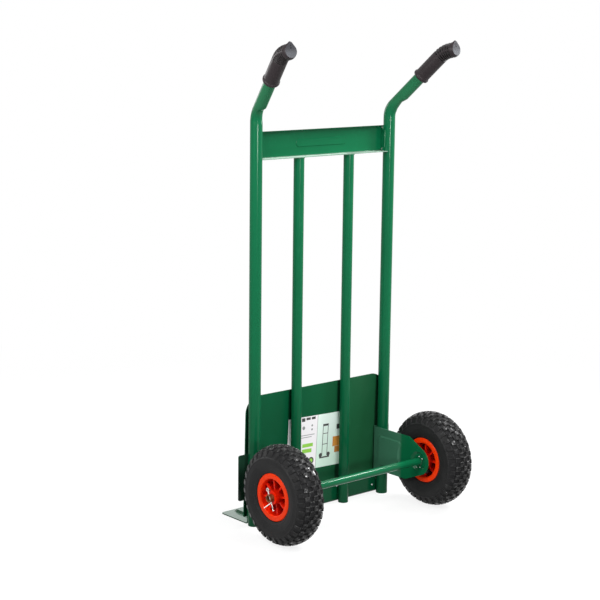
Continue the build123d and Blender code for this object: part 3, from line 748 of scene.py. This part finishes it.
def grip_shape():
    """Rings up the bore's mouth, out over the collar, along the sleeve with its ribs, out to the egg of
    the guard, over the cap's slope and in to the middle of the flat end."""
    mouth = handle_corner + handle_way * GRIP_START
    grip_end = handle_end + hand_way * GRIP_END_WALL
    places, headings = bent_line([mouth, hand_corner, grip_end], [HAND_BEND], GRIP_STEP)
    run = run_along(places)
    angle = np.linspace(0, 2 * np.pi, GRIP_SIDES, endpoint=False)
    egg = egg_radius(angle, GRIP_FACE_RADIUS, GRIP_GUARD_TIP, GRIP_GUARD_RISE)
    collar = np.clip(1 - (run / (GRIP_COLLAR_LENGTH / 2) - 1) ** 2, 0, 1) ** 0.5
    radii = GRIP_RADIUS + collar * (GRIP_COLLAR_RADIUS - GRIP_RADIUS)
    radii = np.repeat(radii[:, None], GRIP_SIDES, axis=1)
    to_end = (run[-1] - run)[:, None]
    rib_end = GRIP_GUARD_LENGTH + 1 * MM
    ribbed = (to_end > rib_end) & (to_end < rib_end + RIB_COUNT * RIB_PITCH)
    groove = (0.5 - 0.5 * np.cos(2 * np.pi * (to_end - rib_end) / RIB_PITCH)) ** 2
    gripped = np.clip((np.abs(np.cos(angle)) - 0.1) / 0.14, 0, 1)
    groove = ribbed * groove * gripped
    radii -= RIB_DEPTH * groove
    flare = np.clip(1 - to_end / GRIP_GUARD_LENGTH, 0, 1) ** 1.5
    radii = radii * (1 - flare) + egg * flare
    shell = rings(places, headings, np.cross(headings, UP), radii)

    end_scale = np.array([0.955, 0.93, 0.9, 0.6, 0.3, 0.06])[:, None]
    end_level = np.array([0.75, 1, 1, 1, 1, 1])[:, None] * GRIP_CAP
    end_headings = np.tile(hand_way, (len(end_scale), 1))
    across = np.cross(hand_way, UP)
    face = rings(grip_end + end_level * hand_way, end_headings, across, egg * end_scale)
    mouth_rows = [8, 0]
    bore = np.full((len(mouth_rows), GRIP_SIDES), GRIP_BORE)
    lip = rings(places[mouth_rows], headings[mouth_rows], np.cross(headings[mouth_rows], UP), bore)
    stack = np.concatenate([lip, shell, face])
    faces = ring_faces(len(stack), GRIP_SIDES)
    last = (len(stack) - 1) * GRIP_SIDES
    faces.append(list(range(last, last + GRIP_SIDES)))
    top = np.cross(across, hand_way)
    from_end = stack - grip_end
    flat = np.zeros(stack.shape[:2])
    flat[1 - len(end_scale):] = 1
    end_place = np.stack([from_end @ across, from_end @ top, flat], -1)
    rib_groove = np.zeros(stack.shape[:2])
    rib_groove[len(lip):len(lip) + len(shell)] = groove
    marks = {"end_place": end_place.reshape(-1, 3), "rib_groove": rib_groove.ravel()}
    return stack.reshape(-1, 3), faces, marks


def grip_rubber_look(place):
    """Black rubber with a fine moulded grain and painted shade in the rib grooves; the flat end is rubbed
    grey, palest low down, and has two small vents painted as dark discs of shade."""
    side, height, flat = along(read_mark(place, "end_place", "Vector"))
    grain = noise(place, 1400, 2)
    cloud = noise(place, 45, 3)
    # Painted shade: the rib grooves are darkened.
    groove_shade = read_mark(place, "rib_groove")
    colour = mixed(cloud, linear(36, 31, 33), linear(43, 37, 39))
    colour = mixed(between(groove_shade, 0.04, 0.35), colour, linear(6, 5, 5))
    grey = mixed(noise(place, 90, 3), linear(72, 73, 77), linear(90, 92, 96))
    grey = mixed(between(height, -9 * MM, 9 * MM), grey, linear(52, 52, 56))
    colour = mixed(between(flat, 0.9, 0.99), colour, grey)
    # Painted shade: each vent is a dark disc, with no hole cut.
    for vent_height in VENT_HEIGHTS:
        off = (side**2 + (height - vent_height) ** 2) ** 0.5
        vent = between(off, 2.6 * MM, 1.4 * MM) * flat
        colour = mixed(vent, colour, linear(18, 18, 20))
    return {
        "Base Color": colour,
        "Roughness": 0.34 + 0.12 * cloud - 0.06 * between(flat, 0.9, 0.99),
        "Normal": bump(grain, 0.008 * MM),
    }


grip_rubber = finish("grip_rubber", grip_rubber_look, Specular_IOR_Level=0.14)
grip_points, grip_faces, grip_marks = grip_shape()
grip_pair = {"left": (grip_points, grip_faces), "right": mirrored(grip_points, grip_faces)}
for side, shape in grip_pair.items():
    grip = piece(f"{side}_ribbed_grip", *shape, grip_rubber, "frame", "grip_rubber", **grip_marks)
    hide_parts(f"{side}_grip")


# RIMS AND BEARINGS
# The rims are moulded in glossy red plastic with eight ribs. Loose steel rollers in a black cage run
# on the axle inside each hub, behind a black ring, and the valve comes through on the inner side.
WHEEL_X = 266.7 * MM


def red_plastic_look(place):
    """Red plastic with painted shade, darkest in the dish and beside the hub, and painted light, brightest
    on the lips, with a flow pattern and light scuffs.
    """
    x, y, z = along(place)
    out = abs(abs(x) - WHEEL_X)
    off_axle = ((y - AXLE_Y) ** 2 + (z - AXLE_HEIGHT) ** 2) ** 0.5
    # Painted shade and light: the colour goes from dark in the dish, through the ribs, to bright on the
    # lips.
    rib = between(out, 15 * MM, 25 * MM)
    lip = between(out, 28 * MM, 33 * MM) * between(off_axle, 46 * MM, 49 * MM)
    flow = noise(place, 30, 3)
    scuff = between(noise(place, 240, 4, 0.65), 0.6, 0.78)
    shaded_dish = mixed(rib, linear(186, 4, 0), mixed(flow, linear(220, 28, 2), linear(232, 36, 3)))
    hub_shade = between(off_axle, 30 * MM, 26 * MM) * between(out, 36.8 * MM, 35.8 * MM)
    shaded_dish = mixed(hub_shade * 0.6, shaded_dish, linear(166, 12, 1))
    colour = mixed(lip, shaded_dish, mixed(flow, linear(226, 49, 2), linear(236, 56, 4)))
    return {
        "Base Color": mixed(scuff * 0.16, colour, linear(244, 80, 24)),
        "Roughness": 0.3 + 0.1 * flow + 0.12 * scuff,
        "Normal": bump(noise(place, 500, 2), 0.1 * MM, 0.35),
    }


def black_moulding(place):
    """Black plastic with a fine matt grain."""
    grain = noise(place, 900, 3)
    return {
        "Base Color": mixed(grain, linear(22, 22, 23), linear(44, 44, 45)),
        "Roughness": 0.42 + 0.2 * grain,
        "Normal": bump(grain, 0.1 * MM, 0.5),
    }


def ground_steel(place):
    """Bright steel with fine grinding lines round it."""
    lines = noise(stretched(place, 30, 1, 1), 120, 3)
    return {
        "Base Color": mixed(lines, linear(150, 150, 150), linear(206, 206, 206)),
        "Roughness": 0.2 + 0.2 * lines,
        "Normal": bump(lines, 0.05 * MM, 0.4),
    }


red_plastic = finish("red_moulded_plastic", red_plastic_look, Specular_IOR_Level=0.12)
black_plastic = finish("black_moulded_plastic", black_moulding, Specular_IOR_Level=0.4)
roller_steel = finish("ground_roller_steel", ground_steel, Metallic=1.0)
for side in ("left", "right"):
    dress(red_plastic, f"{side}_rim")
    dress(black_plastic, *[f"{side}_{part}" for part in ("bearing_cage", "hub_ring", "valve_cap")])
    dress(roller_steel, f"{side}_bearing_rollers")


# TYRES
# Small air tyres of black rubber: smooth sidewalls that come down over the rims' lips, a raised rib where
# they begin, and a tread of square knobs set like a chequerboard, with longer lugs over the shoulders.
TREAD_DEPTH = 4.6 * MM
KNOBS_ROUND = 32
LEFT_WHEEL_TURN = math.radians(10)
LUG_START = 36 * MM
PIT_END = 51 * MM
TREAD_FOOT = 53.5 * MM
TREAD_RADIUS = 125 * MM
KNOB_BEVEL = 0.16


def arc_through(first, middle, last, count):
    """Points evenly along the circle through three points, from the first to the last."""
    first, middle, last = (np.array(point, float) for point in (first, middle, last))
    rows = 2 * np.array([middle - first, last - first])
    centre = np.linalg.solve(rows, [middle @ middle - first @ first, last @ last - first @ first])
    start, end = (np.arctan2(*(point - centre)[::-1]) for point in (first, last))
    angle = np.linspace(start, end, count)[:, None]
    radius = np.linalg.norm(first - centre)
    return centre + radius * np.concatenate([np.cos(angle), np.sin(angle)], 1)


# Half of the casing's section, from the middle of the crown over the shoulder to the rim's lip, as places
# along the axle and radii. Its normals are turned to point out of the tyre.
shoulder, lip_edge = (32, 120), (35.4, 62.8)
crown_half = arc_through((0, 130), (16.6, 127.49), shoulder, 24)
sidewall = arc_through(shoulder, (42.5, 88.9), lip_edge, 62)
casing = np.concatenate([crown_half[:-1], sidewall]) * MM
casing_run = run_along(casing)
casing_out = np.gradient(casing, casing_run, axis=0)[:, ::-1] * (-1, 1)
casing_out *= np.sign(casing_out[:, 1:] + casing_out[:, :1] + 1e-9)
casing_out /= np.linalg.norm(casing_out, axis=1)[:, None]


def off_casing(run, lift):
    """Axial place and radius of a point at that run from the crown's middle, lifted off the casing."""
    reach = np.abs(run)
    x, radius, out_x, out_radius = (
        np.interp(reach, casing_run, column) for column in (*casing.T, *casing_out.T)
    )
    return np.sign(run) * (x + lift * out_x), radius + lift * out_radius


def around_axle(x, radius, angle):
    """Places of a wheel's points on the +X end of the axle: angle 0 is up and turns towards the load."""
    y = AXLE_Y - radius * np.sin(angle)
    return np.stack(np.broadcast_arrays(WHEEL_X + x, y, AXLE_HEIGHT + radius * np.cos(angle)), -1)


def tyre_carcass(turn, columns=144):
    """Lathe of the casing's section round the axle: the crown sinks by the tread's depth between the
    sidewalls, thin ribs stand where they begin and end, and beads and lining close the section."""
    half = casing_run[1:]
    run = np.concatenate([-half[::-1], [0], half])
    reach = np.abs(run)
    sunk = np.clip((TREAD_FOOT - reach) / (TREAD_FOOT - PIT_END), 0, 1)
    lugs = np.clip((reach - LUG_START) / (PIT_END - LUG_START), 0, 1)
    sunk *= 1 - 0.6 * lugs
    lift = -TREAD_DEPTH * sunk
    for rib, height, spread in ((55.4, 1.1, 1.5), (69, 0.35, 0.9), (88, 0.5, 1.0)):
        lift += height * MM * np.exp(-(((reach / MM - rib) / spread) ** 2))
    x, radius = off_casing(run, lift)
    bead = [(30.6, 63.6), (28.6, 60), (28.6, 51), (19.6, 51), (19.6, 57)]
    inside = [(33.5, 75), (37.5, 88.9), (27, 112), (0, 122)]
    lining = np.array(bead + inside) * MM
    lining = np.concatenate([lining, lining[-2::-1] * (-1, 1)])
    x = np.concatenate([x, lining[:, 0]])
    radius = np.concatenate([radius, lining[:, 1]])
    angle = turn + np.linspace(0, 2 * np.pi, columns, endpoint=False)
    points = around_axle(x[:, None], radius[:, None], angle)
    groove = np.repeat(np.concatenate([sunk * (1 - lugs), np.zeros(len(lining))]), columns)
    return points.reshape(-1, 3), ring_faces(len(x), columns, closed=True), groove


def tread_knobs(turn):
    """Knobs as small grids: flat tops that follow the casing, a narrow bevel, then sides that slope out
    and end inside the carcass. Rows of knobs alternate by half a pitch, and lugs run out on the sidewall."""
    share = np.array([-1.14, -1.0, -0.88, 0, 0.88, 1.0, 1.14])
    drop = np.array([1.2, KNOB_BEVEL, 0, 0, 0, KNOB_BEVEL, 1.2]) * TREAD_DEPTH
    wide = len(share)
    lift = -np.maximum(drop[:, None], drop)
    rows = [(0, 5.6, 6.3, 0)]
    for side in (-1, 1):
        rows += [(side * 12.4, 5.6, 6.3, 0.5), (side * 24.8, 5.6, 6.3, 0), (side * 44, 9.6, 5.8, 0.5)]
    middle, half_width, half_length, phase = (np.array(column) for column in zip(*rows))
    start = turn + (np.arange(KNOBS_ROUND)[:, None] + phase) * 2 * np.pi / KNOBS_ROUND
    run = (middle[:, None] + half_width[:, None] * share) * MM
    run = np.broadcast_to(run[None, :, None, :], (KNOBS_ROUND, len(rows), wide, wide))
    x, radius = off_casing(run, lift)
    swing = half_length[:, None] * share * MM / TREAD_RADIUS
    points = around_axle(x, radius, (start[..., None] + swing)[..., None])
    quads, rim = grid_faces(wide, wide)
    faces = []
    for first in range(0, x.size, wide**2):
        faces += (quads + first).tolist()
        faces.append((rim + first).tolist())
    plain = np.where(np.abs(middle) > LUG_START / MM, 0.35, 1.0)[:, None, None]
    bevel = np.abs(lift + KNOB_BEVEL * TREAD_DEPTH) < 0.01 * TREAD_DEPTH
    top = np.broadcast_to(plain * (lift > -0.1 * TREAD_DEPTH), x.shape).ravel()
    edge = np.broadcast_to(plain * bevel, x.shape).ravel()
    return points.reshape(-1, 3), faces, top, edge


def tyre_shape(turn):
    """Carcass and knobs as one mesh, with marks for the grooves, the knobs' tops and their edges."""
    carcass_points, carcass_faces, groove = tyre_carcass(turn)
    knob_points, knob_faces, top, edge = tread_knobs(turn)
    points, faces = joined([(carcass_points, carcass_faces), (knob_points, knob_faces)])
    bare = np.zeros(len(carcass_points))
    marks = {
        "groove": np.concatenate([groove, np.zeros(len(knob_points))]),
        "knob": np.concatenate([bare, top]),
        "knob_edge": np.concatenate([bare, edge]),
    }
    return points, faces, marks


def tyre_rubber_look(place):
    """Black rubber: dull, faintly dusty sidewalls, grooves darkened as painted shade, and knobs with
    smoother tops and edges painted lighter as a painted highlight."""
    groove, knob, edge = (read_mark(place, name) for name in ("groove", "knob", "knob_edge"))
    dust = noise(place, 34, 4, 0.6)
    grain = noise(place, 1100, 2)
    worn = noise(place, 130, 3)
    height = 0.1 * MM * grain + 0.12 * MM * noise(place, 260, 2) + 0.6 * MM * noise(place, 48, 3)
    colour = mixed(dust, linear(25, 25, 26), linear(40, 40, 40))
    colour = mixed(between(noise(place, 420, 2), 0.67, 0.73) * 0.6, colour, linear(80, 80, 80))
    # Painted shade: the grooves are mixed darker.
    colour = mixed(groove, colour, linear(27, 27, 28))
    colour = mixed(knob * (1 - between(worn, 0.45, 0.65)), colour, linear(26, 26, 27))
    # Painted highlight: the knobs' bevelled edges are mixed lighter, on some knobs more than others.
    colour = mixed(edge * between(worn, 0.3, 0.6) * 0.7, colour, linear(84, 84, 84))
    return {
        "Base Color": colour,
        "Roughness": 0.5 - 0.26 * knob - 0.1 * edge + 0.2 * (dust - 0.5),
        "Coat Weight": knob * between(worn, 0.52, 0.64) * 0.8,
        "Normal": bump(height, 1.0),
    }


tyre_rubber = finish("tyre_rubber", tyre_rubber_look, Specular_IOR_Level=0.09, Coat_Roughness=0.1)
for side, turn in (("left", LEFT_WHEEL_TURN), ("right", 0)):
    *shape, marks = tyre_shape(turn)
    if side == "right":
        shape = mirrored(*shape)
    wheel = f"{side}_wheel"
    tyre = piece(f"{side}_knobby_tyre", *shape, tyre_rubber, wheel, "tyre_rubber", sharp=30, **marks)
    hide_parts(f"{side}_tyre")
    dress(tyre_rubber, f"{side}_inner_tube", f"{side}_valve_stem")


# FLOOR, LIGHT AND CAMERA
# A white floor with a faint shadow, a pale surround, and soft boxes above, on both sides, behind the
# camera and on the load side, as in a small studio. The camera stands behind the truck on its left, a
# little above its middle.
FLOOR_REACH = 30
WHITE = (1, 1, 1, 1)
CAMERA_PLACE = (2.7077, 2.9724, 1.3400)
CAMERA_AZIMUTH = math.radians(139.28)
CAMERA_ELEVATION = math.radians(10.59)
CAMERA_ROLL = math.radians(0.65)
CAMERA_LENS = 93.45


def seen(flow):
    """1 for what the camera, a reflection or glass looks at, and 0 for light on its way."""
    kinds = ("Camera", "Glossy", "Transmission")
    eye, mirror, glass = (flow.node("LightPath", None, None, f"Is {kind} Ray") for kind in kinds)
    return eye.math("MAXIMUM", eye, mirror.math("MAXIMUM", mirror, glass))


floor_corners = [(x * FLOOR_REACH, y * FLOOR_REACH, 0) for x, y in ((-1, -1), (1, -1), (1, 1), (-1, 1))]
floor_mesh = bpy.data.meshes.new("studio_floor")
floor_mesh.from_pydata(floor_corners, [], [(0, 1, 2, 3)])
floor = bpy.data.objects.new("studio_floor", floor_mesh)
bpy.context.scene.collection.objects.link(floor)
floor_paper = bpy.data.materials.new("white_floor")
floor_paper.use_nodes = True
floor_nodes = Flow(floor_paper.node_tree)
floor_nodes.tree.nodes.clear()
looked_at = seen(floor_nodes)
floor_x, floor_y = along(floor_nodes.node("TexCoord", output="Object"))[:2]
far = between((floor_x**2 + floor_y**2) ** 0.5, 0.7, 2.4)
floor_colour = mixed(looked_at, linear(160, 160, 160), WHITE)
matt = floor_nodes.node("BsdfDiffuse", None, {"Color": floor_colour})
glow = floor_nodes.node("Emission", None, {"Color": WHITE})
paper = floor_nodes.node("MixShader", None, {0: (0.82 + 0.18 * far) * looked_at, 1: matt, 2: glow})
floor_nodes.node("OutputMaterial", None, {"Surface": paper})
floor_mesh.materials.append(floor_paper)

scene = bpy.context.scene
scene.view_settings.view_transform = "Standard"
world = bpy.data.worlds.new("studio")
scene.world = world
world.use_nodes = True
sky = Flow(world.node_tree)
sky.tree.nodes.clear()
ambient = sky.node("Background", None, {"Color": WHITE, "Strength": 0.18})
white = sky.node("Background", None, {"Color": WHITE, "Strength": 1.0})
surround = sky.node("MixShader", None, {0: seen(sky), 1: ambient, 2: white})
sky.node("OutputWorld", None, {"Surface": surround})


def turn_to(thing, place, aside, out):
    """Put the camera or a lamp at a place, with its right side along aside and its back along out."""
    pose = np.eye(4)
    pose[:3, :3] = np.stack([aside, np.cross(out, aside), out], 1)
    pose[:3, 3] = place
    thing.matrix_world = pose.T


back = np.array([
    math.sin(CAMERA_AZIMUTH) * math.cos(CAMERA_ELEVATION),
    -math.cos(CAMERA_AZIMUTH) * math.cos(CAMERA_ELEVATION),
    math.sin(CAMERA_ELEVATION),
])
level = np.array([math.cos(CAMERA_AZIMUTH), math.sin(CAMERA_AZIMUTH), 0])
right = math.cos(CAMERA_ROLL) * level + math.sin(CAMERA_ROLL) * np.cross(back, level)
camera_data = bpy.data.cameras.new("camera")
camera_data.sensor_width = 36
camera_data.lens = CAMERA_LENS
camera_data.clip_end = 100
camera = bpy.data.objects.new("camera", camera_data)
scene.collection.objects.link(camera)
scene.camera = camera
turn_to(camera, CAMERA_PLACE, right, back)


def soft_box(name, place, aim, width, height, power):
    """Rectangular lamp at a place, turned to face a point."""
    lamp = bpy.data.lights.new(name, "AREA")
    lamp.shape = "RECTANGLE"
    lamp.size, lamp.size_y, lamp.energy = width, height, power
    stand = bpy.data.objects.new(name, lamp)
    scene.collection.objects.link(stand)
    out = np.array(place) - np.array(aim)
    out /= np.linalg.norm(out)
    aside = np.cross(UP, out)
    aside /= np.linalg.norm(aside)
    turn_to(stand, place, aside, out)
    stand.visible_camera = False


soft_box("key_box", (-0.8, 0.3, 2.25), aim=(0, 0.05, 0.9), width=1.4, height=1.2, power=34)
soft_box("right_box", (-1.64, 0.67, 2.0), aim=(0, 0.08, 0.13), width=0.45, height=0.2, power=30)
soft_box("left_box", (1.6, 0.3, 1.65), aim=(0, -0.05, 0.95), width=1.2, height=1.4, power=38)
soft_box("tube_strip", (0.91, 2.84, 0.82), aim=(0.2, -0.08, 1.0), width=0.28, height=0.24, power=31)
soft_box("rear_box", (0.1, 2.5, 2.3), aim=(0, 0, 0.4), width=0.9, height=0.8, power=20)
soft_box("side_box", (-1.8, 0.6, 1.2), aim=(0, -0.08, 0.6), width=0.5, height=0.4, power=13)
soft_box("glint_box", (-0.3, 1.9, 2.4), aim=(0, 0, 0.4), width=0.35, height=0.35, power=13)
soft_box("load_side_box", (0.6, -2.6, 1.5), aim=(0, -0.1, 0.6), width=1.0, height=1.0, power=18)
